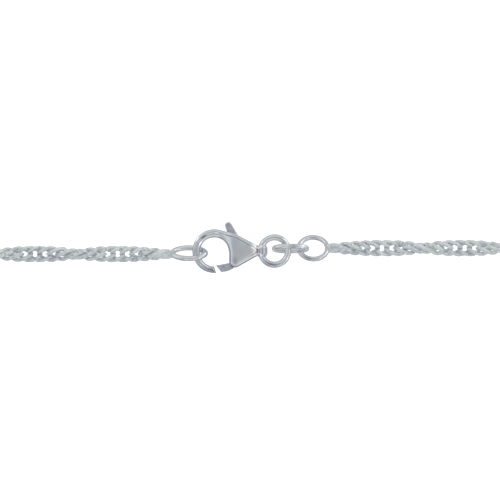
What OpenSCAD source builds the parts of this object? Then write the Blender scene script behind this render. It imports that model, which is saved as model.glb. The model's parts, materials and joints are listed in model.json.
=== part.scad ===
// Singapore chain necklace with a trigger clasp, lying closed on a flat surface.
// Millimetres. Origin: centre of the neck opening, on the surface. +X along the clasp, +Z up.

/* [Necklace] */
// Length of the closed necklace round the middle of the chain
necklace_length = 450; // [400:5:510]
// Half length of the straight runs behind the neck and at the front
straight_half = 36; // [30:1:44]
// Diameter of the round space that the twisted links fill
chain_d = 2.2; // [1.8:0.1:2.4]
// How far the left run lies below the middle of the clasp
left_run_drop = 0.55; // [0.3:0.05:0.7]
// How far the right run lies above the middle of the clasp
right_run_rise = 0.25; // [0.1:0.05:0.4]
// How far the left end's oval ring lies below the middle of the clasp
left_ring_drop = 0.42; // [0.3:0.02:0.6]
// Stretch over which a chain end rises from the surface to its ring
lift_run = 8; // [6:1:14]
// Length of the narrowing last link, soldered to its ring
end_taper = 1.5; // [1.2:0.1:2]
// Diameter of the soldered tip of each chain end
end_tip_d = 0.9; // [0.8:0.05:1]

/* [Rings] */
// Length of an oval ring over its wire
oval_len = 5; // [4.7:0.1:5.3]
// Width of an oval ring over its wire
oval_w = 3; // [2.9:0.05:3.2]
// Wire diameter of an oval ring
oval_wire = 0.6; // [0.54:0.02:0.62]
// Diameter of the round jump ring over its wire
jump_od = 4.4; // [4.2:0.05:4.8]
// Wire diameter of the round jump ring
jump_wire = 0.74; // [0.66:0.02:0.76]
// Diameter of the right chain end's round ring over its wire
end_od = 4.45; // [4.3:0.05:4.7]
// Wire diameter of the right chain end's ring
end_wire = 0.62; // [0.54:0.02:0.64]
// Tilt of the right chain end's ring from the surface
end_tilt = 40; // [34:1:44]
// Tilt of the connecting oval ring from the surface
connector_tilt = 72; // [66:1:78]

/* [Clasp hook] */
// Length of the clasp from hook to tail loop
clasp_len = 10.2; // [9.8:0.1:10.8]
// Outer radius of the hook
hook_r = 2.97; // [2.9:0.01:3.1]
// Radius of the round space inside the hook
hole_r = 1.95; // [1.9:0.01:2]
// How far the round space lies below the hook's outer circle
hole_drop = 0.12; // [0.06:0.02:0.16]
// Thickness of the hook
hook_t = 1.1; // [1:0.02:1.14]
// Width of the sloping band round the hook
hook_bevel = 0.32; // [0.2:0.02:0.36]

/* [Clasp body] */
// Thickness of the body
body_t = 2.2; // [2:0.05:2.5]
// Width of the sloping band along the body's edges
body_bevel = 0.36; // [0.2:0.02:0.4]
// Width of the neck before the tail loop
neck_w = 1.6; // [1.4:0.05:1.8]
// Outer diameter of the tail loop
tail_od = 1.75; // [1.7:0.05:1.9]
// Hole of the tail loop
tail_hole = 0.96; // [0.92:0.01:1]
// Width of the tail loop
tail_w = 1.25; // [1.1:0.05:1.3]

/* [Lever] */
// Thickness of the lever
lever_t = 0.9; // [0.8:0.05:1]
// Radius of the lever's hub round its pin
hub_r = 0.92; // [0.8:0.02:0.96]
// Distance of the pin from the body's left edge
pin_in = 1.6; // [1.5:0.02:1.7]
// How far the pin lies below the middle of the clasp
pin_drop = 0.81; // [0.76:0.01:0.86]
// Radius of the thumb end
thumb_r = 0.42; // [0.36:0.02:0.46]
// Height of the thumb end's centre above the pin
thumb_h = 4.12; // [4:0.05:4.4]
// Swing of the lever from closed to open
lever_swing = 36; // [30:1:38]
// Pin radius
pin_r = 0.35; // [0.3:0.01:0.38]

/* [Fits] */
// Radial clearance of the lever on its pin
pin_clear = 0.04; // [0.02:0.01:0.06]
// Radial gap of the pin in the body's walls
pin_seat = 0.01; // [0.01:0.005:0.02]
// Gap at each side of the lever in its slot
slot_side = 0.05; // [0.04:0.01:0.08]
// Gap round the lever's edges in its slot
slot_edge = 0.14; // [0.1:0.01:0.16]
// Gap between the hook's faces and the ring that it holds
ring_gap = 0.11; // [0.09:0.01:0.14]
// Free space between the hook and the left ring's end
hook_slack = 0.38; // [0.36:0.02:0.5]
// Free space between the jump ring and the connecting ring's end
jump_slack = 1.2; // [0.9:0.05:1.3]
// Free space between the right end ring and the connecting ring's end
end_slack = 0.43; // [0.3:0.01:0.6]
// Least gap between the surface and the rings or the clasp
floor_gap = 0.02; // [0.01:0.01:0.06]
// Depth of each pin end below the body's face
pin_recess = 0.03; // [0.02:0.01:0.06]
// Play of the jump ring in the tail loop
jump_play = 0.06; // [0.04:0.01:0.07]
// Gap between the hook's end and the closed gate, at the inside
gate_gap = 0.42; // [0.3:0.02:0.5]

/* [Hidden] */
$fn = 64;
over = 0.5;

// The neck opening and the route of the chain
turn_r = (necklace_length - 4 * straight_half) / (2 * PI);
chain_r = chain_d / 2;
tube_sides = 8;
tube_rings = 40;

// Heights: the tilted rings and the clasp share one middle height
oval_mid = (oval_w - oval_wire) / 2;
end_mid = (end_od - end_wire) / 2;
jump_mid = (jump_od - jump_wire) / 2;
connector_half_h = oval_mid * sin(connector_tilt) + oval_wire / 2;
end_half_h = end_mid * sin(end_tilt) + end_wire / 2;
mid_z = max(connector_half_h, end_half_h, body_t / 2, chain_r) + floor_gap;
hook_ring_tilt = asin((hook_t / 2 + ring_gap + oval_wire / 2) / oval_mid);

// Places along the clasp, measured from the middle of the clasp line
tail_c = [1.54, -0.12];
hook_c = [tail_c.x + tail_od / 2 - clasp_len + hook_r, -0.15];
hole_c = [hook_c.x, hook_c.y - hole_drop];
hole_land = 0.06;
body_left = hole_c.x + hole_r + hole_land;
span = tail_c.x - hook_c.x;

// Rings, each hung on the piece before it
jump_c = [tail_c.x - jump_play + jump_mid, -0.14];
connector_left = jump_c.x + jump_mid - jump_wire / 2 - jump_slack - oval_wire;
connector_c = [connector_left + oval_len / 2, 0.19];
end_ring_left = connector_left + oval_len - oval_wire - end_slack - end_wire;
end_ring_c = [end_ring_left + end_od / 2, right_run_rise];
hook_ring_right = hole_c.x - hole_r + hook_slack + oval_wire;
hook_ring_c = [hook_ring_right - oval_len / 2, -left_ring_drop];

// Outline of the clasp's body: the top edge leaves the hook's circle as a tangent,
// and the neck reaches a little way into the wall of the tail loop
neck_reach = 0.2;
corner = [0.3, 0.42];
shoulder = [hook_c.x + 0.486 * span, 0.7 * hook_r];
neck_top = [tail_c.x - tail_od / 2 + neck_reach, tail_c.y + neck_w / 2];
neck_low = [neck_top.x, tail_c.y - neck_w / 2];
heel = [hook_c.x + 0.47 * span, hook_c.y - 0.75 * hook_r];
toe = [body_left + corner.x, hook_c.y - 0.71 * hook_r];
left_low = [body_left, toe.y + corner.y];
left_top = [body_left, hole_c.y];
root_angle = 74;
root_in = hole_c + 0.97 * hole_r * [cos(root_angle), sin(root_angle)];
top_start = tangent_point(hook_c, hook_r, shoulder);

// The slanted end of the hook, and the lever's pin
tip_angle = 20.8;
tip_dir = [sin(tip_angle), -cos(tip_angle)];
tip_in = hole_c - [0.06, hole_r];
pin_c = [body_left + pin_in, -pin_drop];

// Outline of the lever round its pin: thumb end, then the gate with its slanted end
thumb_c = thumb_h * [-0.415, 1];
thumb_low_left = thumb_h * [-0.473, 0.82];
thumb_low_right = thumb_h * [-0.146, 0.716];
gate_slant = 0.68;
gate_inset = 0.14;
gate_tip_top = tip_in + [gate_gap, 0.06] - pin_c;
gate_tip_low = [gate_tip_top.x + gate_slant, hook_c.y - hook_r + gate_inset - pin_c.y];
gate_mid_low = [-1.98, -2.24] * hub_r;
gate_root_low = [-1.2, -1.87] * hub_r;
gate_mid_top = [-1.68, -1.01] * hub_r;

function tangent_point(c, r, p) =
    let (d = norm(p - c), a = atan2(p.y - c.y, p.x - c.x) + acos(r / d))
    c + r * [cos(a), sin(a)];
function turned(p, a) = [p.x * cos(a) - p.y * sin(a), p.x * sin(a) + p.y * cos(a)];
function smooth(t) = let (u = min(1, max(0, t))) u * u * (3 - 2 * u);

// Route of one half of the chain, by its distance from the front centre.
// side is -1 on the left and 1 on the right, shift moves its upper run along Y.
function side_r(shift) = turn_r + shift / 2;
function side_length(shift, end_x) = 2 * straight_half + PI * side_r(shift) - end_x;
function route_xy(s, side, shift) =
    let (r = side_r(shift), turn = PI * r, a = (s - straight_half) / r * 180 / PI)
    s < straight_half ? [side * s, -turn_r]
    : s < straight_half + turn
        ? [side * (straight_half + r * sin(a)), shift / 2 - r * cos(a)]
        : [side * (2 * straight_half + turn - s), turn_r + shift];
function route_heading(s, side, shift) =
    let (r = side_r(shift), a = min(180, max(0, (s - straight_half) / r * 180 / PI)))
    side > 0 ? a : 180 - a;
function route_z(s, total) = chain_r + (mid_z - chain_r) * smooth((s - total + lift_run) / lift_run);

// Stations of the tube: even steps, then the narrowing end
function stations(total) = concat(
    [for (i = [0:tube_rings - 2]) [i * (total - end_taper) / (tube_rings - 2), chain_r]],
    [[total - end_taper / 3, (chain_r + end_tip_d / 2) / 2], [total, end_tip_d / 2]]);
function tube_ring(station, side, shift, total) =
    let (s = station[0], r = station[1] / cos(180 / tube_sides), h = route_heading(s, side, shift),
         p = route_xy(s, side, shift), z = route_z(s, total))
    [for (k = [0:tube_sides - 1])
        let (a = (k + 0.5) * 360 / tube_sides)
        [p.x - r * cos(a) * sin(h), p.y + r * cos(a) * cos(h), z + r * sin(a)]];
function tube_faces(rings) =
    let (n = tube_sides)
    concat(
        [[for (k = [0:n - 1]) k], [for (k = [n - 1:-1:0]) (rings - 1) * n + k]],
        [for (i = [0:rings - 2]) for (k = [0:n - 1])
            [i * n + k, (i + 1) * n + k, (i + 1) * n + (k + 1) % n, i * n + (k + 1) % n]]);

module half_chain(side, shift, end_x) {
    total = side_length(shift, end_x);
    rows = stations(total);
    points = [for (row = rows) each tube_ring(row, side, shift, total)];
    polyhedron(points = points, faces = tube_faces(len(rows)), convexity = 8);
}

module at_clasp() {
    translate([0, turn_r, mid_z]) children();
}

module round_ring(od, wire) {
    rotate_extrude() translate([(od - wire) / 2, 0]) circle(d = wire, $fn = 32);
}

// An oval ring: two straight sides and two half round ends, long side along X
module oval_ring() {
    straight = oval_len - oval_w;
    for (s = [-1, 1]) {
        translate([s * straight / 2, 0, 0]) rotate([0, 0, -90 * s])
            rotate_extrude(angle = 180) translate([oval_mid, 0]) circle(d = oval_wire, $fn = 32);
        translate([-straight / 2, s * oval_mid, 0]) rotate([0, 90, 0])
            cylinder(d = oval_wire, h = straight, $fn = 32);
    }
}

module chain_left() {
    color([0.76, 0.79, 0.78]) {
        half_chain(-1, -left_run_drop, -(hook_ring_c.x - oval_len / 2 + oval_wire / 2));
        at_clasp() translate([hook_ring_c.x, hook_ring_c.y, 0])
            rotate([-hook_ring_tilt, 0, 0]) oval_ring();
    }
}

module chain_right() {
    color([0.76, 0.79, 0.78]) {
        half_chain(1, right_run_rise, end_ring_c.x + end_mid);
        at_clasp() translate([end_ring_c.x, end_ring_c.y, 0])
            rotate([-end_tilt, 0, 0]) round_ring(end_od, end_wire);
    }
}

module jump_ring() {
    color([0.8, 0.82, 0.82])
        at_clasp() translate([jump_c.x, jump_c.y, 0]) round_ring(jump_od, jump_wire);
}

module connector_ring() {
    color([0.8, 0.82, 0.82])
        at_clasp() translate([connector_c.x, connector_c.y, 0])
            rotate([connector_tilt, 0, 0]) oval_ring();
}

// A disc with sloping edges, whose faces are smaller than its middle
module bevelled_disc(r, t, bevel) {
    rotate_extrude()
        polygon([[0, -t / 2], [r - bevel, -t / 2], [r, -t / 2 + bevel], [r, t / 2 - bevel],
                 [r - bevel, t / 2], [0, t / 2]]);
}

// The space that a round hole with sloping edges takes away
module flared_hole(r, t, bevel) {
    far = t / 2 + over;
    rotate_extrude()
        polygon([[0, -far], [r + bevel + over, -far], [r, -t / 2 + bevel], [r, t / 2 - bevel],
                 [r + bevel + over, far], [0, far]]);
}

module hook() {
    cut_far = 2 * hook_r;
    difference() {
        translate(hook_c) bevelled_disc(hook_r, hook_t, hook_bevel);
        translate(hole_c) flared_hole(hole_r, hook_t, hook_bevel);
        translate([0, 0, -hook_t]) linear_extrude(2 * hook_t)
            polygon([tip_in - 0.6 * tip_dir, tip_in + 2 * tip_dir, [hook_c.x + cut_far, -cut_far],
                     [hook_c.x + cut_far, hook_c.y], hook_c + hook_r * [cos(60), sin(60)], hole_c]);
    }
}

// Takes the sloping band off one straight edge, on both faces. The body lies left of a to b.
module edge_cut(a, b) {
    top = body_t / 2;
    for (s = [0, 1])
        mirror([0, 0, s]) translate([a.x, a.y, 0])
            rotate([0, 0, atan2(b.y - a.y, b.x - a.x)]) rotate([90, 0, 90])
                translate([0, 0, -over]) linear_extrude(norm(b - a) + 2 * over)
                    polygon([[-over, top - body_bevel - over], [body_bevel + over, top + over],
                             [-over, top + over]]);
}

module body_outline() {
    difference() {
        polygon([top_start, shoulder, neck_top, neck_low, heel, toe, left_low, left_top, root_in]);
        translate(hole_c) circle(r = hole_r);
    }
}

module body_plate() {
    difference() {
        translate([0, 0, -body_t / 2]) linear_extrude(body_t) body_outline();
        translate(hole_c) flared_hole(hole_r, body_t, body_bevel);
        edge_cut(shoulder, top_start);
        edge_cut(neck_top, shoulder);
        edge_cut(heel, neck_low);
        edge_cut(left_top, left_low);
        root_ramps();
    }
}

// Slopes that bring the body's faces down to the hook's thickness
module root_ramps() {
    rise = (body_t - hook_t) / 2;
    run = 1.4;
    for (s = [0, 1])
        mirror([0, 0, s])
            translate([root_in.x, 0, hook_t / 2]) rotate([0, -atan(rise / run), 0])
                translate([-over, 0, 0]) cube([over + norm([rise, run]), 2 * hook_r, body_t]);
}

module tail_loop() {
    wall = (tail_od - tail_hole) / 2;
    barrel_r = (tail_w * tail_w / 4 + wall * wall) / (2 * wall);
    translate([tail_c.x, tail_c.y, 0]) rotate([90, 0, 0])
        rotate_extrude()
            intersection() {
                translate([tail_od / 2 - barrel_r, 0]) circle(r = barrel_r, $fn = 96);
                translate([tail_hole / 2 + barrel_r, 0]) circle(r = barrel_r, $fn = 96);
            }
}

// The room that the lever needs inside the body, closed to open
module lever_slot() {
    room = hub_r + slot_edge;
    open_right = turned(thumb_low_right, -lever_swing) + [slot_edge, 0];
    gate_open = turned(gate_mid_top, -lever_swing) + [0, slot_edge];
    translate([pin_c.x, pin_c.y, -lever_t / 2 - slot_side]) linear_extrude(lever_t + 2 * slot_side) {
        circle(r = room);
        polygon([[-room, 0], thumb_low_left - [slot_edge, 0], 1.4 * thumb_low_left, 1.6 * open_right,
                 open_right, [room, 0]]);
        polygon([[0, 0], gate_open, 1.25 * gate_open, 1.25 * gate_mid_low, 1.5 * gate_root_low,
                 [0, -room]]);
    }
}

module clasp_body() {
    color([0.68, 0.69, 0.74])
        at_clasp() difference() {
            union() {
                hook();
                body_plate();
                tail_loop();
            }
            lever_slot();
            translate([pin_c.x, pin_c.y, 0])
                cylinder(r = pin_r + pin_seat, h = 2 * body_t, center = true);
        }
}

module lever_outline() {
    circle(r = hub_r);
    translate(thumb_c) circle(r = thumb_r);
    polygon([thumb_c + thumb_r * [-0.98, -0.2], thumb_low_left, [-hub_r, 0], [hub_r, 0],
             thumb_low_right, thumb_c + thumb_r * [0.92, 0.39]]);
    polygon([[0, 0], gate_mid_top, gate_tip_top, gate_tip_low, gate_mid_low, gate_root_low,
             [0, -hub_r]]);
}

module clasp_lever() {
    color([0.6, 0.61, 0.66])
        at_clasp() translate([pin_c.x, pin_c.y, 0]) difference() {
            translate([0, 0, -lever_t / 2]) linear_extrude(lever_t) lever_outline();
            cylinder(r = pin_r + pin_clear, h = 2 * lever_t, center = true);
        }
}

module clasp_pin() {
    color([0.68, 0.69, 0.74])
        at_clasp() translate([pin_c.x, pin_c.y, 0])
            cylinder(r = pin_r, h = body_t - 2 * pin_recess, center = true);
}

chain_left();
chain_right();
clasp_body();
clasp_lever();
clasp_pin();
jump_ring();
connector_ring();
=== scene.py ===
"""Looks of a closed necklace: a twisted chain, its end rings and its trigger clasp, in polished silver."""

import json
import math

import bpy
import numpy as np
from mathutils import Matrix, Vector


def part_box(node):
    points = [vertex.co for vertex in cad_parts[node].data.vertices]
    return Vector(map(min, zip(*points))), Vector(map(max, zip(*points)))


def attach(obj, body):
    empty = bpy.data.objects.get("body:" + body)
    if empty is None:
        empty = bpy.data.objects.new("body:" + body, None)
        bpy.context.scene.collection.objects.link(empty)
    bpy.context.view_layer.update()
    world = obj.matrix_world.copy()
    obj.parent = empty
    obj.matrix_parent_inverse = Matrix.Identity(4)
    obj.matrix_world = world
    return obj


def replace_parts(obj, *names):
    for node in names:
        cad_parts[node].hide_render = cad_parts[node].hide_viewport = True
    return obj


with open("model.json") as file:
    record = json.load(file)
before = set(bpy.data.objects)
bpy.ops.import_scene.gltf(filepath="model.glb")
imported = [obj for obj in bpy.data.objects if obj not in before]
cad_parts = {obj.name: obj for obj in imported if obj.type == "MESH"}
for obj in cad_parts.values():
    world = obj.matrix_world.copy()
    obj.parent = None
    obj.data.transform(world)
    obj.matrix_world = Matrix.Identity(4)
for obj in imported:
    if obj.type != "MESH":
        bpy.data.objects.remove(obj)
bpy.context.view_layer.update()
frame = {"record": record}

# Lengths below are in millimetres. Shapes of the clasp are measured from the middle of the
# clasp line, which lies CLASP_Y from the centre of the neck opening and CLASP_Z above the floor.
MM = 0.001
record = frame["record"]
mounts = {m["name"]: np.array(m["pos_m"]) / MM for m in record["mounts"]}
CLASP_Y = -mounts["pendant_seat"][1]
CLASP_Z = mounts["hook"][2]
CLASP_AT = np.array([0.0, CLASP_Y, CLASP_Z])


def clasp_frame_box(node):
    """A node's corners, measured from the middle of the clasp line."""
    low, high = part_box(node)
    return np.array(low) / MM - CLASP_AT, np.array(high) / MM - CLASP_AT


BODY_LOW, BODY_HIGH = clasp_frame_box("clasp_body")
JUMP_LOW, JUMP_HIGH = clasp_frame_box("jump_ring")
LINK_LOW, LINK_HIGH = clasp_frame_box("connector_ring")
PIN = (np.array(record["behaviour"]["joints"][0]["pos_m"]) / MM - CLASP_AT)[:2]

# Chain
STRAIGHT_HALF = 36.0
LEFT_SHIFT = -0.55
RIGHT_SHIFT = 0.25
CHAIN_R = 1.14
LIFT_RUN = 8.0
LINK_STATIONS = 44
LINK_SIDES = 12
LINK_HALF_LEN = 1.46
LINK_HALF_WIDTH = 0.86
LINK_POWER = 2.1
LINK_END_HALF = 0.19
LINK_SIDE_HALF = 0.3
LINK_SIDE_FLAT = 0.3
LINK_WEDGE = 0.2
LINK_PITCH = 1.24
LINK_TURN = math.radians(20.4)
LINK_UNTWIST = math.radians(34.0)
LINK_SWAY = math.radians(5.0)
EDGE_ON_AT = 12.45
CUT_AT = 1.14
END_TURN = math.radians(-15)
END_TURN_ALONG = 5.0
FRONT_TURN = math.radians(45)
# From the last link's end to the middle of its ring's wire
LAST_LINK_GAP = 0.16
# The run from each ring whose links keep the photo's turns
KEPT_RUN = 40.0

# Rings. The worn values, the powers and the connector's tilt follow the photo, not the solids.
RING_STATIONS = 96
RING_SIDES = 20
ROUND = 2.0
OVAL_HALF = 2.2
OVAL_MID = 1.2
OVAL_WIRE = 0.6
OVAL_WIRE_WORN = 0.74
LEFT_RING_POWER = 1.95
LEFT_RING_THICKER = 0.2
CONNECTOR_WIRE_WORN = 0.67
CONNECTOR_POWER = 2.5
HOOK_SLACK = 0.38
END_SLACK = 0.43
HOOK_RING_TILT = math.radians(53.1)
CONNECTOR_TILT = math.radians(74)
END_TILT = math.radians(40)
END_OD = 4.45
END_WIRE = 0.62
END_WIRE_WORN = 0.7
JUMP_WIRE_WORN = JUMP_HIGH[2] - JUMP_LOW[2] + 0.14
JUMP_OD_WORN = JUMP_HIGH[0] - JUMP_LOW[0] + 0.18
BEAD = (1.75, 0.8, 0.5)
BEAD_TURN = math.radians(45)
BEAD_TWIST = 0.6
BEAD_BEFORE = 1.42
BEAD_TONE = 0.8

# Clasp
HOOK_R = 2.97
HOLE_R = 1.95
HOOK_C = np.array([BODY_LOW[0] + HOOK_R, -0.15])
HOLE_C = HOOK_C - [0.0, 0.12]
BODY_HALF_T = BODY_HIGH[2]
TAIL_C = np.array([1.54, -0.12])
TAIL_R = 0.84
TAIL_HOLE_R = 0.48
TAIL_HALF_W = 0.8
TAIL_RIM_HALF_W = 0.42
COLLAR_X = 1.09
COLLAR_R = 0.52
COLLAR_HALF = 0.09
WAIST_R = 0.38
WAIST_HALF = 0.4
PIN_R = 0.35
PIN_HALF = 0.98
PIN_SEAT = 0.01
PIN_CLEAR = 0.04
HUB_R = 0.92
HUB_ROOM = 0.97
LEVER_HALF_T = 0.45
SLOT_HALF_T = 0.5

# Cells of the surface nets
FINE_NET = 0.045
COARSE_NET = 0.06

# Rings placed from their neighbours
HOOK_RING_C = np.array([HOLE_C[0] - HOLE_R + HOOK_SLACK + OVAL_WIRE / 2 - OVAL_HALF, -0.42])
JUMP_C = (JUMP_LOW + JUMP_HIGH)[:2] / 2
CONNECTOR_C = (LINK_LOW + LINK_HIGH)[:2] / 2
END_RING_LEFT = LINK_HIGH[0] - OVAL_WIRE - END_SLACK - END_WIRE
END_RING_C = np.array([END_RING_LEFT + END_OD / 2, RIGHT_SHIFT])
END_MID_R = (END_OD - END_WIRE) / 2


def piece(name, points, faces, material, body, slot, crease=None, marks=None, normals=None):
    """A mesh object from points in millimetres in the row frame, riding on a body."""
    mesh = bpy.data.meshes.new(name)
    mesh.from_pydata((points * MM).tolist(), [], faces.tolist())
    mesh.shade_smooth()
    if crease:
        mesh.set_sharp_from_angle(angle=math.radians(crease))
    if normals is not None:
        mesh.normals_split_custom_set_from_vertices(normals.tolist())
    for mark, values in (marks or {}).items():
        layer = mesh.attributes.new(mark, "FLOAT", "POINT")
        layer.data.foreach_set("value", values.astype(np.float32))
    mesh.materials.append(material)
    shown = bpy.data.objects.new(name, mesh)
    bpy.context.scene.collection.objects.link(shown)
    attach(shown, body)
    return shown


def joined(parts):
    """Several (points, faces) as one."""
    points, faces, first = [], [], 0
    for p, f in parts:
        points.append(p)
        faces.append(f + first)
        first += len(p)
    return np.concatenate(points), np.concatenate(faces)


def ring_faces(stations, sides):
    """Quads of a closed tube: both ways round it closes on itself."""
    i, k = np.meshgrid(np.arange(stations), np.arange(sides), indexing="ij")
    ahead, beside = (i + 1) % stations, (k + 1) % sides
    quads = [i * sides + k, ahead * sides + k, ahead * sides + beside, i * sides + beside]
    return np.stack(quads, -1).reshape(-1, 4)


def smooth_max(a, b, k):
    """The larger of two fields, with an edge rounded over about k."""
    share = np.clip(0.5 + 0.5 * (a - b) / k, 0, 1)
    return a * share + b * (1 - share) + k * share * (1 - share)


def smooth_min(a, b, k):
    return -smooth_max(-a, -b, k)


def smooth_step(t):
    u = np.clip(t, 0, 1)
    return u * u * (3 - 2 * u)


def outline_distance(x, y, points):
    """Distance from a closed outline, negative inside it."""
    x, y = np.broadcast_arrays(x, y)
    nearest = np.full(x.shape, np.inf)
    inside = np.zeros(x.shape, bool)
    for (ax, ay), (bx, by) in zip(points, points[1:] + points[:1]):
        ex, ey = bx - ax, by - ay
        share = np.clip(((x - ax) * ex + (y - ay) * ey) / (ex * ex + ey * ey), 0, 1)
        nearest = np.minimum(nearest, np.hypot(x - ax - ex * share, y - ay - ey * share))
        if ey:
            inside ^= ((ay > y) != (by > y)) & (x < ax + ex * (y - ay) / ey)
    return np.where(inside, -nearest, nearest)


def disc_distance(x, y, centre, radius):
    return np.hypot(x - centre[0], y - centre[1]) - radius


def field_slope(field, p, h=0.004):
    """Gradient of a field at points."""
    slope = np.empty_like(p)
    for axis in range(3):
        step = np.zeros(3)
        step[axis] = h
        ahead, behind = p + step, p - step
        slope[:, axis] = (field(*ahead.T) - field(*behind.T)) / (2 * h)
    return slope


def field_normals(field, p):
    """Directions out of the surface, evened out over about a third of a net's cell."""
    slope = field_slope(field, p, 0.015)
    return slope / np.maximum(np.linalg.norm(slope, axis=1, keepdims=True), 1e-9)


def drawn_onto(field, p, reach):
    """Points moved onto the surface where the field is zero."""
    for _ in range(4):
        slope = field_slope(field, p)
        move = -field(*p.T)[:, None] * slope / np.maximum((slope**2).sum(1), 0.05)[:, None]
        length = np.linalg.norm(move, axis=1, keepdims=True)
        p = p + move * np.minimum(1, reach / np.maximum(length, 1e-9))
    return p


def surface_net(field, low, high, step):
    """Quads over the surface where field(x, y, z) crosses zero, which is negative inside."""
    axes = [np.arange(a, b + step, step) for a, b in zip(low, high)]
    shape = [len(a) for a in axes]
    x, y, z = axes
    value = np.broadcast_to(field(x[:, None, None], y[None, :, None], z[None, None, :]), shape)
    inside = value < 0
    count = np.zeros([n - 1 for n in shape], np.int8)
    for corner in np.ndindex(2, 2, 2):
        part = tuple(slice(c, n - 1 + c) for c, n in zip(corner, shape))
        count += inside[part]
    cell = (count > 0) & (count < 8)
    index = np.full(cell.shape, -1)
    index[cell] = np.arange(cell.sum())
    base = np.argwhere(cell)
    total, number = np.zeros((len(base), 3)), np.zeros(len(base))
    for axis in range(3):
        others = [a for a in range(3) if a != axis]
        for u, v in np.ndindex(2, 2):
            start = base.copy()
            start[:, others[0]] += u
            start[:, others[1]] += v
            stop = start.copy()
            stop[:, axis] += 1
            a, b = value[tuple(start.T)], value[tuple(stop.T)]
            crosses = (a < 0) != (b < 0)
            point = start[crosses].astype(float)
            point[:, axis] += a[crosses] / (a[crosses] - b[crosses])
            total[crosses] += point
            number += crosses
    points = np.array([a[0] for a in axes]) + step * total / number[:, None]
    faces = []
    for axis in range(3):
        u, v = (axis + 1) % 3, (axis + 2) % 3
        change = np.diff(inside.astype(np.int8), axis=axis)
        at = np.argwhere(change)
        out = change[tuple(at.T)] < 0
        eu, ev = np.eye(3, dtype=int)[u], np.eye(3, dtype=int)[v]
        quad = np.stack([index[tuple((at - s).T)] for s in (eu + ev, ev, 0 * eu, eu)], 1)
        quad[~out] = quad[~out][:, ::-1]
        faces.append(quad)
    faces = np.concatenate(faces)
    points = drawn_onto(field, points, 0.5 * step)
    for _ in range(2):
        points = drawn_onto(field, relaxed(points, faces), 0.5 * step)
    return points, faces


def relaxed(points, faces):
    """Each point moved halfway to the mean of its neighbours."""
    total, number = np.zeros_like(points), np.zeros(len(points))
    for k in range(4):
        for other in (1, 3):
            np.add.at(total, faces[:, k], points[faces[:, (k + other) % 4]])
            np.add.at(number, faces[:, k], 1)
    return 0.5 * points + 0.5 * total / number[:, None]


def oval_line(half_len, half_wid, power, count=RING_STATIONS):
    """A superellipse in the XY plane."""
    t = np.arange(count) * 2 * math.pi / count
    c, s = np.cos(t), np.sin(t)
    x = half_len * np.sign(c) * np.abs(c) ** (2 / power)
    y = half_wid * np.sign(s) * np.abs(s) ** (2 / power)
    return np.stack([x, y], 1)


def flat_loop_tube(line, half, flat, sides, wedge=0.0):
    """A wire bent along a closed line in the XY plane, as (stations, sides, 3) points. It is round
    and as thick as half where the line runs along Y. Where it runs along X it is flattened, to
    the two half thicknesses in flat, in the line's plane and across it, and the wedge share
    makes it thicker on the outside than on the inside."""
    way = np.roll(line, -1, 0) - np.roll(line, 1, 0)
    way /= np.linalg.norm(way, axis=1, keepdims=True)
    outward = np.stack([way[:, 1], -way[:, 0]], 1)
    along_x = way[:, :1] ** 2
    in_plane = half + (flat[0] - half) * along_x
    across = half + (flat[1] - half) * along_x
    a = np.arange(sides) * 2 * math.pi / sides
    points = np.empty((len(line), sides, 3))
    points[..., :2] = line[:, None] + (in_plane * np.cos(a))[..., None] * outward[:, None]
    points[..., 2] = across * np.sin(a) * (1 + wedge * along_x * np.cos(a))
    return points


def turned_x(points, angle):
    """Points turned about the X axis."""
    c, s = math.cos(angle), math.sin(angle)
    y, z = points[..., 1], points[..., 2]
    return np.stack([points[..., 0], y * c - z * s, y * s + z * c], -1)


def at_clasp(points, centre=(0.0, 0.0)):
    return points + CLASP_AT + [centre[0], centre[1], 0.0]


def wire_ring(line, wire, tilt, centre, right_end=0.0):
    """A ring of round wire as (points, faces), thicker by the share right_end at its right end."""
    from_end = np.abs((np.arange(len(line)) * 360 / len(line) + 180) % 360 - 180)[:, None]
    half = wire / 2 * (1 + right_end * hump(from_end, 0, 30))
    tube = turned_x(flat_loop_tube(line, half, (half, half), RING_SIDES), tilt)
    return at_clasp(tube.reshape(-1, 3), centre), ring_faces(len(line), RING_SIDES)


def spots_over(way, across, spots):
    """How strongly each place is marked. A spot is its way round a ring in degrees and its half
    width, its place across the wire and its half width, and its amount."""
    marked = np.zeros(np.broadcast(way, across).shape)
    for at, half_at, off, half_off, amount in spots:
        away = (way - at + 180) % 360 - 180
        marked = np.maximum(marked, amount * hump(away, 0, half_at) * hump(across, off, half_off))
    return marked


def ring_painted_light(line, tilt, shade_spots, highlight_spots):
    """Painted shade and painted highlights of a ring from its spots, whose places are as seen from
    above: across the wire is from -1 inside to 1 outside."""
    middle = turned_x(np.column_stack([line, np.zeros(len(line))]), tilt)[:, None]
    lean = turned_x(flat_loop_tube(line, 1.0, (1.0, 1.0), RING_SIDES), tilt) - middle
    seen = middle[..., :2]
    outward = seen / np.linalg.norm(seen, axis=-1, keepdims=True)
    across = (lean[..., :2] * outward).sum(-1)
    way = np.degrees(np.arctan2(seen[..., 1], seen[..., 0]))
    above = smooth_step(lean[..., 2] / 0.2 + 1)
    # Painted shade and painted highlights, each only on the upper side of the wire
    return {"painted_shade": (spots_over(way, across, shade_spots) * above).ravel(),
            "painted_highlight": (spots_over(way, across, highlight_spots) * above).ravel()}


def solder_bead(centre, size, side):
    """A twisted blob of solder where a chain end meets its ring, as (points, faces)."""
    def field(x, y, z):
        turn = side * (BEAD_TURN + BEAD_TWIST * side * x)
        u, w = y * np.cos(turn) - z * np.sin(turn), y * np.sin(turn) + z * np.cos(turn)
        return (np.sqrt((x / size[0])**2 + (u / size[1])**2 + (w / size[2])**2) - 1) * min(size)
    reach = np.array([size[0], size[1], size[1]]) * 1.15
    points, faces = surface_net(field, -reach, reach, COARSE_NET)
    return at_clasp(points, centre), faces


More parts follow.
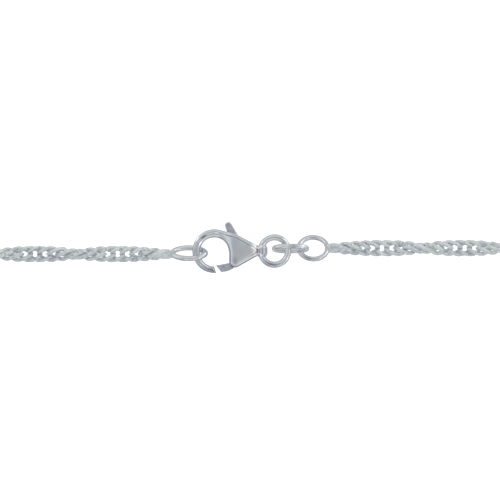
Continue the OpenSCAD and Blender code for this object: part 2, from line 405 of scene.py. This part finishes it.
def chain_route(s, side, shift):
    """Places and ways ahead along half of the chain, s being the way from the front."""
    r = CLASP_Y + shift / 2
    turn = math.pi * r
    a = np.clip((s - STRAIGHT_HALF) / r, 0, math.pi)
    along_top = np.maximum(s - STRAIGHT_HALF - turn, 0)
    x = np.minimum(s, STRAIGHT_HALF) + r * np.sin(a) - along_top
    y = shift / 2 - r * np.cos(a) - shift / 2 * (s < STRAIGHT_HALF)
    y = np.where(s < STRAIGHT_HALF, -CLASP_Y, y)
    way = np.stack([side * np.cos(a), np.sin(a)], -1)
    return np.stack([side * x, y], -1), way


def chain_links(side, shift, end_x, link_seed):
    """Half of the chain: interlocked oval links that turn about the chain's run, as
    (points, faces, tone), tone being each link's own shade."""
    total = 2 * STRAIGHT_HALF + math.pi * (CLASP_Y + shift / 2) - end_x
    reach = LINK_HALF_LEN + LINK_END_HALF
    last = total - LAST_LINK_GAP - reach
    count = round(last / LINK_PITCH + 0.5)
    pitch = last / (count - 0.5)
    k = np.arange(count)
    place = last - k * pitch
    from_edge_on = place - (total + end_x - EDGE_ON_AT)
    turn = math.radians(90) + from_edge_on / LINK_PITCH * LINK_TURN
    hidden = smooth_step((total - KEPT_RUN - place) / (total - KEPT_RUN))
    missing = (FRONT_TURN - turn[-1]) % math.pi
    missing = missing - math.pi if missing > math.pi / 2 else missing
    chance = np.random.default_rng(link_seed)
    turn = turn + missing * hidden
    turn = turn + LINK_SWAY * (chance.random(count) - 0.5)
    turn = turn + END_TURN * smooth_step((place - last + END_TURN_ALONG) / END_TURN_ALONG)

    line = oval_line(LINK_HALF_LEN, LINK_HALF_WIDTH, LINK_POWER, LINK_STATIONS)
    flat = (LINK_SIDE_HALF, LINK_SIDE_FLAT)
    tube = flat_loop_tube(line, LINK_END_HALF, flat, LINK_SIDES, LINK_WEDGE)
    tube[..., 1] = np.clip(tube[..., 1], -CUT_AT, CUT_AT)
    u, v, w = tube[..., 0][None], tube[..., 1][None], tube[..., 2][None]
    angle = turn[:, None, None] - LINK_UNTWIST * u / pitch
    s = place[:, None, None] + u
    beside = v * np.cos(angle) - w * np.sin(angle)
    above = v * np.sin(angle) + w * np.cos(angle)
    at, way = chain_route(s, side, shift)
    height = CHAIN_R + (CLASP_Z - CHAIN_R) * smooth_step((s - total + LIFT_RUN) / LIFT_RUN)
    points = np.empty(s.shape + (3,))
    points[..., 0] = at[..., 0] + side * beside * way[..., 1]
    points[..., 1] = at[..., 1] - side * beside * way[..., 0]
    points[..., 2] = height + above
    tone = np.broadcast_to(chance.random(count)[:, None, None], s.shape)
    first = np.arange(count) * len(line) * LINK_SIDES
    faces = ring_faces(len(line), LINK_SIDES)[None] + first[:, None, None]
    faces = faces.reshape(-1, 4)
    if side > 0:
        faces = faces[:, ::-1]
    return points.reshape(-1, 3), faces, tone.ravel()


def node(tree, kind, inputs=None, **settings):
    """A shader node with its settings, whose inputs are values or other nodes' outputs."""
    made = tree.nodes.new(kind)
    for name, value in settings.items():
        setattr(made, name, value)
    for name, value in (inputs or {}).items():
        if isinstance(value, bpy.types.NodeSocket):
            tree.links.new(value, made.inputs[name])
        else:
            made.inputs[name].default_value = value
    return made


def mix_colour(tree, share, a, b, blend="MIX"):
    made = tree.nodes.new("ShaderNodeMix")
    made.data_type = "RGBA"
    made.blend_type = blend
    for socket, value in ((made.inputs[0], share), (made.inputs[6], a), (made.inputs[7], b)):
        if isinstance(value, bpy.types.NodeSocket):
            tree.links.new(value, socket)
        else:
            socket.default_value = value
    return made.outputs[2]


def map_range(tree, value, low, high, to_low, to_high):
    made = node(tree, "ShaderNodeMapRange", {"Value": value, "From Min": low, "From Max": high,
                                             "To Min": to_low, "To Max": to_high})
    return made.outputs["Result"]


EDGE_TINT = (0.85, 0.85, 0.85, 1)
# The colours of a painted highlight and of painted shade, mixed in by the two marks
PAINTED_HIGHLIGHT = (0.97, 0.96, 0.99, 1)
PAINTED_SHADE = (0.2, 0.21, 0.24, 1)


def silver(name, light, dark, roughness, patch_mm, mark_mm, mark_depth, tone=None, cut_mm=None,
           cut_share=0.0, metallic=1.0):
    """Polished silver: patches of warmer and cooler tone, fine polishing marks, a painted highlight
    where the highlight mark is and painted shade where the shade mark is. Small flat cuts of about
    cut_mm lean their own way by cut_share, and tone is the darkest shade of a piece's single links."""
    material = bpy.data.materials.new(name)
    material.use_nodes = True
    tree = material.node_tree
    shader = tree.nodes["Principled BSDF"]
    place = node(tree, "ShaderNodeTexCoord").outputs["Object"]
    patches = node(tree, "ShaderNodeTexNoise", {"Vector": place, "Scale": 1 / (patch_mm * MM),
                                                "Detail": 3.0, "Roughness": 0.55}).outputs["Fac"]
    fine = node(tree, "ShaderNodeTexNoise", {"Vector": place, "Scale": 1 / (mark_mm * MM),
                                             "Detail": 4.0, "Roughness": 0.6}).outputs["Fac"]
    share = map_range(tree, patches, 0.3, 0.7, 0.0, 1.0)
    colour = mix_colour(tree, share, (*dark, 1), (*light, 1))
    if tone:
        each = node(tree, "ShaderNodeAttribute", attribute_name="tone").outputs["Fac"]
        shade = map_range(tree, each, 0.0, 1.0, tone, 1.0)
        colour = mix_colour(tree, 1.0, colour, grey_of(tree, shade), "MULTIPLY")
    # Painted light: the colour is lightened to a painted highlight by one mark and darkened to painted
    # shade by the other
    painted_highlight = node(tree, "ShaderNodeAttribute", attribute_name="painted_highlight").outputs["Fac"]
    colour = mix_colour(tree, painted_highlight, colour, PAINTED_HIGHLIGHT)
    painted_shade = node(tree, "ShaderNodeAttribute", attribute_name="painted_shade").outputs["Fac"]
    colour = mix_colour(tree, painted_shade, colour, PAINTED_SHADE)
    tree.links.new(colour, shader.inputs["Base Color"])
    shader.inputs["Metallic"].default_value = metallic
    shader.inputs["Specular Tint"].default_value = EDGE_TINT
    rough = map_range(tree, fine, 0.3, 0.7, roughness * 0.75, roughness * 1.3)
    tree.links.new(rough, shader.inputs["Roughness"])
    bump = node(tree, "ShaderNodeBump", {"Height": fine, "Strength": 0.6,
                                         "Distance": mark_depth * MM})
    if cut_mm:
        tree.links.new(cut_facets(tree, place, cut_mm, cut_share), bump.inputs["Normal"])
    tree.links.new(bump.outputs["Normal"], shader.inputs["Normal"])
    return material


def cut_facets(tree, place, size_mm, share):
    """Normals of small flat cuts, each leaning its own way."""
    cells = node(tree, "ShaderNodeTexVoronoi", {"Vector": place, "Scale": 1 / (size_mm * MM)})
    lean = node(tree, "ShaderNodeVectorMath", operation="MULTIPLY_ADD")
    tree.links.new(cells.outputs["Color"], lean.inputs[0])
    lean.inputs[1].default_value = (share, share, share)
    tree.links.new(node(tree, "ShaderNodeNewGeometry").outputs["Normal"], lean.inputs[2])
    centred = node(tree, "ShaderNodeVectorMath", operation="SUBTRACT")
    tree.links.new(lean.outputs["Vector"], centred.inputs[0])
    centred.inputs[1].default_value = (share / 2, share / 2, share / 2)
    unit = node(tree, "ShaderNodeVectorMath", operation="NORMALIZE")
    tree.links.new(centred.outputs["Vector"], unit.inputs[0])
    return unit.outputs["Vector"]


def grey_of(tree, value):
    made = node(tree, "ShaderNodeCombineColor", {"Red": value, "Green": value, "Blue": value})
    return made.outputs["Color"]


# Clasp body, as a field of half thicknesses over its outline
SHOULDER = [-1.73, 2.08]
NECK_TOP = [0.87, 0.72]
NECK_LOW = [0.87, -0.86]
HEEL = [-1.83, -2.38]
TOE = [-2.505, -2.26]
LEFT_LOW = [-2.805, -1.84]
LEFT_TOP = [-2.805, -0.27]
TOP_START = [-4.05, 2.72]
TIP_IN = [-4.875, -2.22]
TIP_WAY = [0.355, -0.935]


def outer_distance(x, y, end=None):
    """Distance from the clasp's outer silhouette, negative inside, its right end being two points."""
    top, low = end or (NECK_TOP, NECK_LOW)
    plate = outline_distance(x, y, [TOP_START, SHOULDER, top, low, HEEL, TOE, list(HOOK_C)])
    return np.minimum(disc_distance(x, y, HOOK_C, HOOK_R), plate)


def void_distance(x, y):
    """Distance from the open space inside the hook, negative in it."""
    low_y = -4.2
    tip_low = [TIP_IN[0] + TIP_WAY[0] * 2, low_y]
    gap = outline_distance(x, y, [list(HOLE_C), TIP_IN, tip_low, [TOE[0], low_y], TOE, LEFT_LOW,
                                  LEFT_TOP])
    return np.minimum(disc_distance(x, y, HOLE_C, HOLE_R), gap)


HOOK_SHARES = [0.0, 0.1, 0.25, 0.36, 0.44, 0.52, 0.65, 0.85, 1.0]
HOOK_HALVES = [0.3, 0.43, 0.53, 0.54, 0.48, 0.54, 0.54, 0.45, 0.3]
# Painted shade along the middle of the hook, by way round it in degrees, and spots of painted shade and of
# painted highlight on the hook
MID_WAYS = [105, 125, 140, 160, 185, 220, 240, 262]
MID_PAINTED_SHADE = [0.0, 0.3, 0.7, 0.45, 0.3, 0.5, 0.6, 1.2]
HOOK_SHADE_SPOTS = [(127, 11, 0.5, 0.12, 1.5), (60, 14, 0.12, 0.1, 0.5), (58, 14, 0.7, 0.12, 0.5),
              (82, 16, 0.16, 0.07, 0.3), (158, 16, 0.6, 0.14, 0.5), (182, 20, 0.5, 0.7, 0.45),
              (226, 20, 0.1, 0.14, 0.35), (263, 13, 0.6, 0.24, 1.0), (258, 16, 0.22, 0.12, 0.5),
              (242, 14, 0.45, 0.16, 0.6), (98, 22, 0.5, 0.7, 0.14)]
HOOK_HIGHLIGHTS = [(78, 12, 0.76, 0.1, 1.0), (144, 9, 0.78, 0.12, 1.0), (135, 14, 0.1, 0.1, 0.8)]
BAND = 0.42

# Where the hook turns into the body along X, and over how long
BODY_FROM = -4.3
BODY_OVER = 1.4
# Grooves: middle and half width of each, and depths and falls of the body's face
GROOVE = (BAND + 0.06, 0.08)
GROOVE_DEPTH = 0.07
MOUTH_GROOVE = (0.12, 0.08)
MOUTH_GROOVE_DEPTH = 0.08
BAND_FALL = 0.1
MOUTH_FALL = 0.07
MOUTH_FALL_OVER = 0.55
DOME_FALL = 0.4
DOME_OVER = 1.6
BAND_END = ([1.6, 0.21], [1.6, -0.45])
LOWER_FACE = [HEEL, NECK_LOW, [NECK_LOW[0], 3.0], [-3.0, 3.0], [-3.0, -2.3]]


def hump(value, middle, half_width):
    """A smooth bump of height 1."""
    return np.exp(-(((value - middle) / half_width) ** 2))


def hook_place(x, y):
    """Where each place is round the hook, in degrees, and its share of the way inwards."""
    out = -outer_distance(x, y, BAND_END)
    share = out / np.maximum(out + void_distance(x, y), 0.2)
    return np.degrees(np.arctan2(y - HOOK_C[1], x - HOOK_C[0])) % 360, share


def plate_profile(x, y):
    """Half thickness of hook and body at each place, and how much shade is painted at each place:
    in its grooves, along the low edge and in spots on the hook.
    """
    out = -outer_distance(x, y, BAND_END)
    into = void_distance(x, y)
    on_body = smooth_step((x - BODY_FROM) / BODY_OVER)

    way, share = hook_place(x, y)
    hook = np.interp(share, HOOK_SHARES, HOOK_HALVES)
    # Painted shade along the hook's middle and at its inner edge
    mid_painted_shade = np.interp(way, MID_WAYS, MID_PAINTED_SHADE) * hump(share, 0.44, 0.1)
    hook_painted_shade = mid_painted_shade + 0.35 * smooth_step((share - 0.9) / 0.08)

    upper = smooth_step((y + 1.0) / 0.6)
    groove = hump(out, *GROOVE) * upper
    edge_groove = hump(into, *MOUTH_GROOVE)
    low_edge = 1.2 * smooth_step((0.2 - out) / 0.1) * (1 - upper)
    lower = outline_distance(x, y, LOWER_FACE)
    body = BODY_HALF_T - BAND_FALL * np.clip(1 - out / BAND, 0, 1) * upper - GROOVE_DEPTH * groove
    body = body - MOUTH_GROOVE_DEPTH * edge_groove
    body = body - MOUTH_FALL * np.clip(1 - into / MOUTH_FALL_OVER, 0, 1)
    body = body - DOME_FALL * smooth_step(0.5 + lower / DOME_OVER)
    # Painted shade in the grooves and along the low edge
    body_painted_shade = np.maximum(np.maximum(groove, edge_groove), low_edge)
    half = hook * (1 - on_body) + body * on_body
    dark = hook_painted_shade * (1 - on_body) + body_painted_shade * on_body
    on_hook = smooth_step((-2.9 - x) / 0.3)
    return half, np.maximum(dark, spots_over(way, share, HOOK_SHADE_SPOTS) * on_hook)


SLOT_UP = [[-HUB_ROOM, 0], [-2.09, 3.38], [-2.73, 4.73], [2.27, 4.4], [1.39, 2.74], [HUB_ROOM, 0]]
SLOT_GATE = [[0, 0], [-1.8, 0.3], [-2.25, 0.37], [-2.28, -2.58], [-1.66, -2.58], [0, -HUB_ROOM]]


def lever_slot_field(x, y, z):
    """The lever's slot. Its room for the hub leaves a wall to the body's lower edge."""
    px, py = x - PIN[0], y - PIN[1]
    up = outline_distance(px, py, SLOT_UP)
    gate = outline_distance(px, py, SLOT_GATE)
    flat = np.minimum(np.minimum(np.hypot(px, py) - HUB_ROOM, up), gate)
    return np.maximum(flat, np.abs(z) - SLOT_HALF_T)


def tail_field(x, y, z):
    """The tail loop, a ring with chamfered sides, and the waist and collar before it."""
    across = np.hypot(x - TAIL_C[0], z)
    y = y - TAIL_C[1]
    bore = TAIL_HOLE_R + 0.06 * (y / TAIL_HALF_W) ** 2 - across
    chamfer = (TAIL_R - TAIL_HOLE_R - 0.12) / (TAIL_HALF_W - TAIL_RIM_HALF_W)
    rim_out = across - TAIL_R + chamfer * np.maximum(np.abs(y) - TAIL_RIM_HALF_W, 0)
    loop = smooth_max(smooth_max(rim_out * 0.75, np.abs(y) - TAIL_HALF_W, 0.05), bore, 0.06)
    from_axis = np.hypot(y, z)
    collar = smooth_max(from_axis - COLLAR_R, np.abs(x - COLLAR_X) - COLLAR_HALF, 0.1)
    waist = np.maximum(from_axis - WAIST_R, np.abs(x - COLLAR_X) - WAIST_HALF)
    return smooth_min(loop, smooth_min(collar, waist, 0.03), 0.03)


# Painted dark lines on the waist and painted highlight streaks on the face: place, half width and amount
TAIL_SHADE_LINES = [(0.99, 0.1, 1.0), (1.28, 0.08, 1.1), (1.13, 0.07, 0.4)]
HIGHLIGHT_STREAKS = [(-0.3, 0.16, 0.9), (-0.68, 0.07, 0.54)]
# Where a highlight is painted on the low corner of the body
LOW_CORNER_HIGHLIGHT = (-2.5, -1.86)


def humps(value, places):
    """Several humps together, each a middle, a half width and an amount."""
    return sum(amount * hump(value, middle, half) for middle, half, amount in places)


def painted_tail_shade(p):
    """Painted shade on the tail: dark lines on the waist, the loop's hollow and its rim."""
    across = np.abs(p[:, 1] - TAIL_C[1])
    hollow = hump(p[:, 0], TAIL_C[0] + 0.15, 0.1) * smooth_step((0.6 - across) / 0.2)
    rim = hump(p[:, 0], TAIL_C[0] + 0.5, 0.16) * smooth_step((0.6 - across) / 0.2)
    lines = humps(p[:, 0], TAIL_SHADE_LINES) * smooth_step((0.36 - across) / 0.1)
    return (0.75 * hollow + 0.3 * rim + lines) * (p[:, 2] > 0.1)


def painted_body_highlight(p):
    """Painted highlights on the clasp body: the neck and tail most, and streaks low on its face."""
    tail = smooth_step((p[:, 0] - 0.4) / 0.25) * smooth_step((1.9 - p[:, 0]) / 0.3)
    from_low = outline_distance(p[:, 0], p[:, 1], LOWER_FACE)
    streaks = humps(from_low, HIGHLIGHT_STREAKS) * smooth_step((p[:, 0] + 1.9) / 0.3)
    corner = np.exp(-((p[:, 0] - LOW_CORNER_HIGHLIGHT[0])**2 + (p[:, 1] - LOW_CORNER_HIGHLIGHT[1])**2) / 0.03)
    way, share = hook_place(p[:, 0], p[:, 1])
    hook = spots_over(way, share, HOOK_HIGHLIGHTS) * (p[:, 0] < -2.9)
    return np.clip(tail + streaks + corner + hook, 0, 1)


def painted_low_corner_shade(p):
    """Painted shade beside the painted highlight on the low corner of the body."""
    return 0.3 * np.exp(-((p[:, 0] + 1.98) / 0.3)**2 - ((p[:, 1] + 1.5) / 0.6)**2)


def clasp_body_field(x, y, z):
    half, _ = plate_profile(x, y)
    silhouette = smooth_max(outer_distance(x, y), -void_distance(x, y), 0.05)
    plate = smooth_max(silhouette, (np.abs(z) - half) * 0.8, 0.05)
    solid = smooth_min(plate, tail_field(x, y, z), 0.08)
    solid = smooth_max(solid, -lever_slot_field(x, y, z), 0.02)
    from_pin = np.hypot(x - PIN[0], y - PIN[1]) - PIN_R
    seat = np.maximum(from_pin, np.abs(z) - PIN_HALF) - PIN_SEAT
    return np.maximum(solid, -seat)


THUMB_C = [-1.70, 4.11]
THUMB_R = 0.47
ARM = [[-2.16, 4.02], [-1.95, 3.38], [-HUB_R, 0], [HUB_R, 0], [-0.48, 2.95], [-1.28, 4.32]]
GATE = [[0, 0], [-1.55, -0.93], [-3.38, -1.28], [-2.66, -2.2], [-1.82, -2.06], [-1.10, -1.72],
        [0, -HUB_R]]


def lever_field(x, y, z):
    """Thumb end, hub with its bore, and gate, measured from the pin."""
    hub = np.hypot(x, y) - HUB_R
    thumb = disc_distance(x, y, THUMB_C, THUMB_R)
    arm = outline_distance(x, y, ARM)
    gate = outline_distance(x, y, GATE)
    flat = smooth_min(smooth_min(hub, gate, 0.1), smooth_min(thumb, arm, 0.05), 0.1)
    solid = smooth_max(flat, np.abs(z) - LEVER_HALF_T, 0.16)
    return np.maximum(solid, PIN_R + PIN_CLEAR - np.hypot(x, y))


def pin_field(x, y, z):
    return smooth_max(np.hypot(x, y) - PIN_R, np.abs(z) - PIN_HALF, 0.08)


def make_clasp(body_metal, lever_metal):
    low = np.array([BODY_LOW[0] - 0.2, -3.4, -BODY_HALF_T - 0.2])
    high = np.array([TAIL_C[0] + TAIL_R + 0.2, 3.1, BODY_HALF_T + 0.2])
    points, faces = surface_net(clasp_body_field, low, high, FINE_NET)
    normals = field_normals(clasp_body_field, points)
    # Painted shade from the grooves, the low edge and spots on the hook, only on the flat faces and less
    # towards the upper right, and on the tail and beside the low corner
    _, dark = plate_profile(points[:, 0], points[:, 1])
    on_plate = smooth_step((np.abs(normals[:, 2]) - 0.2) / 0.3) * (points[:, 0] < NECK_TOP[0])
    fading = 1 - 0.6 * smooth_step((points[:, 0] + 0.4) / 0.8) * (points[:, 1] > -0.3)
    painted_shade = np.maximum(0.75 * dark * on_plate * fading, 0.85 * painted_tail_shade(points))
    painted_shade = np.maximum(painted_shade, painted_low_corner_shade(points))
    body = piece("clasp_body_cast", at_clasp(points), faces, body_metal, "necklace", "clasp_silver",
                 marks={"painted_shade": painted_shade, "painted_highlight": painted_body_highlight(points)}, normals=normals)
    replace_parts(body, "clasp_body")
    points, faces = surface_net(lever_field, (-3.7, -2.6, -0.6), (1.2, 4.8, 0.6), COARSE_NET)
    lever = piece("clasp_lever_cast", at_clasp(points, PIN), faces, lever_metal, "lever",
                  "lever_silver", normals=field_normals(lever_field, points))
    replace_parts(lever, "clasp_lever")
    points, faces = surface_net(pin_field, (-0.5, -0.5, -1.2), (0.5, 0.5, 1.2), COARSE_NET)
    pin = piece("clasp_pin_round", at_clasp(points, PIN), faces, body_metal, "necklace",
                "clasp_silver", crease=50)
    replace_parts(pin, "clasp_pin")


# Spots of painted shade, which stand in for dark reflections, and of painted highlights on each ring
JUMP_SHADE_SPOTS = [(257, 28, -0.02, 0.42, 0.85), (72, 30, 0.05, 0.3, 0.28), (168, 18, 0.2, 0.35, 0.45),
              (222, 12, 0.3, 0.2, 0.2), (38, 14, -0.3, 0.2, 0.3)]
JUMP_HIGHLIGHTS = [(40, 12, 0.5, 0.35, 1.0), (330, 25, 0.35, 0.25, 0.8), (222, 10, 0.85, 0.2, 1.0)]
RIGHT_SHADE_SPOTS = [(240, 28, 0.0, 0.38, 1.0), (128, 10, -0.1, 0.3, 0.4), (85, 45, -0.1, 0.6, 0.22),
               (265, 50, -0.1, 0.8, 0.25)]
RIGHT_HIGHLIGHTS = [(240, 25, 0.65, 0.2, 1.0), (205, 14, -0.5, 0.3, 1.0)]
LEFT_SHADE_SPOTS = [(50, 40, -0.3, 0.3, 0.3), (334, 9, -0.1, 0.6, 0.4), (225, 16, 0.0, 0.4, 0.2)]
LEFT_HIGHLIGHTS = [(332, 12, 0.85, 0.15, 1.0), (255, 15, 0.1, 0.3, 0.6)]


def connector_painted_light(points):
    """Painted light on the connector: a highlight where it rests on the jump ring, shade beside it."""
    x, y, _ = (points - CLASP_AT - [CONNECTOR_C[0], CONNECTOR_C[1], 0.0]).T
    upper = smooth_step((y + 0.05) / 0.1)
    return {"painted_shade": 0.35 * hump(x, 0.35, 0.45) * upper,
            "painted_highlight": hump(x, -0.52, 0.22) * upper + 0.8 * hump(x, 1.5, 0.3) * upper}


def make_rings(ring_metal):
    jump_r = (JUMP_OD_WORN - JUMP_WIRE_WORN) / 2
    circle = oval_line(jump_r, jump_r, ROUND)
    jump = wire_ring(circle, JUMP_WIRE_WORN, 0.0, JUMP_C)
    marks = ring_painted_light(circle, 0.0, JUMP_SHADE_SPOTS, JUMP_HIGHLIGHTS)
    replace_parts(piece("jump_ring_wire", *jump, ring_metal, "necklace", "ring_silver", marks=marks),
                "jump_ring")
    oval = oval_line(OVAL_HALF, OVAL_MID, CONNECTOR_POWER)
    connector = wire_ring(oval, CONNECTOR_WIRE_WORN, CONNECTOR_TILT, CONNECTOR_C)
    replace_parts(piece("connector_ring_wire", *connector, ring_metal, "necklace", "ring_silver",
                      marks=connector_painted_light(connector[0])), "connector_ring")
    pointed = oval_line(OVAL_HALF, OVAL_MID, LEFT_RING_POWER)
    left = wire_ring(pointed, OVAL_WIRE_WORN, -HOOK_RING_TILT, HOOK_RING_C, LEFT_RING_THICKER)
    marks = ring_painted_light(pointed, -HOOK_RING_TILT, LEFT_SHADE_SPOTS, LEFT_HIGHLIGHTS)
    left_ring = piece("left_end_ring", *left, ring_metal, "necklace", "ring_silver", marks=marks)
    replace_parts(left_ring, "chain_left")
    circle = oval_line(END_MID_R, END_MID_R, ROUND)
    right = wire_ring(circle, END_WIRE_WORN, -END_TILT, END_RING_C)
    marks = ring_painted_light(circle, -END_TILT, RIGHT_SHADE_SPOTS, RIGHT_HIGHLIGHTS)
    right_ring = piece("right_end_ring", *right, ring_metal, "necklace", "ring_silver", marks=marks)
    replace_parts(right_ring, "chain_right")


def make_chain(chain_metal):
    left_end = -(HOOK_RING_C[0] - OVAL_HALF)
    right_end = END_RING_C[0] + END_MID_R
    for name, side, shift, end_x, seed in (("left", -1, LEFT_SHIFT, left_end, 5),
                                           ("right", 1, RIGHT_SHIFT, right_end, 9)):
        points, faces, tone = chain_links(side, shift, end_x, seed)
        bead = solder_bead((side * (end_x + BEAD_BEFORE), shift), BEAD, side)
        tone = np.append(tone, np.full(len(bead[0]), BEAD_TONE))
        links = piece(f"chain_{name}_links", *joined([(points, faces), bead]), chain_metal,
                      "necklace", "chain_silver", crease=35, marks={"tone": tone})
        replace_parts(links, f"chain_{name}")


def make_floor():
    size = 3.0
    mesh = bpy.data.meshes.new("floor")
    corners = [(-size, -size, 0), (size, -size, 0), (size, size, 0), (-size, size, 0)]
    mesh.from_pydata(corners, [], [(0, 1, 2, 3)])
    material = bpy.data.materials.new("floor_white")
    material.use_nodes = True
    shader = material.node_tree.nodes["Principled BSDF"]
    shader.inputs["Base Color"].default_value = (0.9, 0.9, 0.9, 1)
    shader.inputs["Roughness"].default_value = 1.0
    shader.inputs["Specular IOR Level"].default_value = 0.0
    shader.inputs["Emission Color"].default_value = (1, 1, 1, 1)
    shader.inputs["Emission Strength"].default_value = 0.78
    mesh.materials.append(material)
    floor = bpy.data.objects.new("floor", mesh)
    bpy.context.scene.collection.objects.link(floor)
    floor.visible_glossy = False


# The studio's grey, from straight down at 0 to straight up at 1
SKY = [(0.0, 0.6), (0.25, 0.6), (0.42, 0.54), (0.5, 0.48), (0.58, 0.5), (0.7, 0.66), (0.8, 0.76),
       (0.9, 0.68), (0.95, 0.54), (1.0, 0.47)]
# Cards: azimuth, elevation, cosines at which it starts and is full, strength and colour
CARDS = [(28, 14, 0.86, 0.95, 0.9, (1.0, 1.0, 1.03, 1)),
         (245, 8, 0.78, 0.93, 0.65, (0.22, 0.25, 0.33, 1))]


def make_world():
    """Soft grey studio: brightest halfway up, brighter to the back than to the front, with a
    bright card to the back right and a dark bluish one to the front left."""
    world = bpy.data.worlds.new("studio")
    bpy.context.scene.world = world
    world.use_nodes = True
    tree = world.node_tree
    way = node(tree, "ShaderNodeTexCoord").outputs["Generated"]
    split = node(tree, "ShaderNodeSeparateXYZ", {"Vector": way})
    share = map_range(tree, split.outputs["Z"], -1.0, 1.0, 0.0, 1.0)
    ramp = node(tree, "ShaderNodeValToRGB", {"Fac": share})
    band = ramp.color_ramp
    while len(band.elements) < len(SKY):
        band.elements.new(0.5)
    for element, (at, level) in zip(band.elements, SKY):
        element.position = at
        element.color = (level, level * 1.01, level * 1.03, 1)
    colour = ramp.outputs["Color"]
    for azimuth, elevation, start, stop, share, tint in CARDS:
        a, e = math.radians(azimuth), math.radians(elevation)
        facing = node(tree, "ShaderNodeVectorMath", operation="DOT_PRODUCT")
        tree.links.new(way, facing.inputs[0])
        facing.inputs[1].default_value = (math.cos(a) * math.cos(e), math.sin(a) * math.cos(e),
                                          math.sin(e))
        card = map_range(tree, facing.outputs["Value"], start, stop, 0.0, share)
        colour = mix_colour(tree, card, colour, tint)
    tree.links.new(colour, tree.nodes["Background"].inputs["Color"])
    strength = map_range(tree, split.outputs["Y"], -1.0, 1.0, 0.96, 1.06)
    tree.links.new(strength, tree.nodes["Background"].inputs["Strength"])


LIGHT_DISTANCE = 0.7
# Lights: name, azimuth, elevation, size in metres and power in watts
LIGHTS = [("softbox_front", -100, 28, 0.14, 0.06), ("softbox_right", -30, 42, 0.13, 0.07),
          ("softbox_back", 48, 16, 0.14, 0.07), ("softbox_left", 145, 22, 0.14, 0.06)]


def make_light(name, azimuth, elevation, size, watts):
    """A square soft light that looks at the clasp."""
    data = bpy.data.lights.new(name, "AREA")
    data.shape = "SQUARE"
    data.size = size
    data.energy = watts
    lamp = bpy.data.objects.new(name, data)
    bpy.context.scene.collection.objects.link(lamp)
    a, e = math.radians(azimuth), math.radians(elevation)
    flat = LIGHT_DISTANCE * math.cos(e)
    lamp.location = (flat * math.cos(a), CLASP_Y * MM + flat * math.sin(a),
                     LIGHT_DISTANCE * math.sin(e))
    lamp.rotation_euler = (math.pi / 2 - e, 0, a + math.pi / 2)


def make_camera():
    lens, sensor, seen_mm = 120.0, 36.0, 67.5
    data = bpy.data.cameras.new("camera")
    data.lens = lens
    data.sensor_width = sensor
    data.clip_start = 0.005
    data.clip_end = 10.0
    camera = bpy.data.objects.new("camera", data)
    bpy.context.scene.collection.objects.link(camera)
    camera.location = (0, CLASP_Y * MM, (CLASP_Z + seen_mm * lens / sensor) * MM)
    bpy.context.scene.camera = camera


chain_metal = silver("chain_silver", light=(0.94, 1.0, 0.955), dark=(0.88, 0.91, 0.96),
                     roughness=0.45, patch_mm=2.3, mark_mm=0.12, mark_depth=0.012, tone=0.93,
                     cut_mm=0.22, cut_share=1.1, metallic=0.58)
ring_metal = silver("ring_silver", light=(0.86, 0.9, 0.89), dark=(0.78, 0.8, 0.84),
                    roughness=0.12, patch_mm=2.0, mark_mm=0.25, mark_depth=0.01)
body_metal = silver("clasp_silver", light=(0.83, 0.9, 0.88), dark=(0.76, 0.77, 0.86),
                    roughness=0.16, patch_mm=1.4, mark_mm=0.3, mark_depth=0.01)
lever_metal = silver("lever_silver", light=(0.76, 0.78, 0.84), dark=(0.46, 0.47, 0.55),
                     roughness=0.34, patch_mm=0.45, mark_mm=0.1, mark_depth=0.03)

make_camera()
make_floor()
make_world()
for light in LIGHTS:
    make_light(*light)
make_chain(chain_metal)
make_rings(ring_metal)
make_clasp(body_metal, lever_metal)
bpy.context.scene.view_settings.view_transform = "Standard"
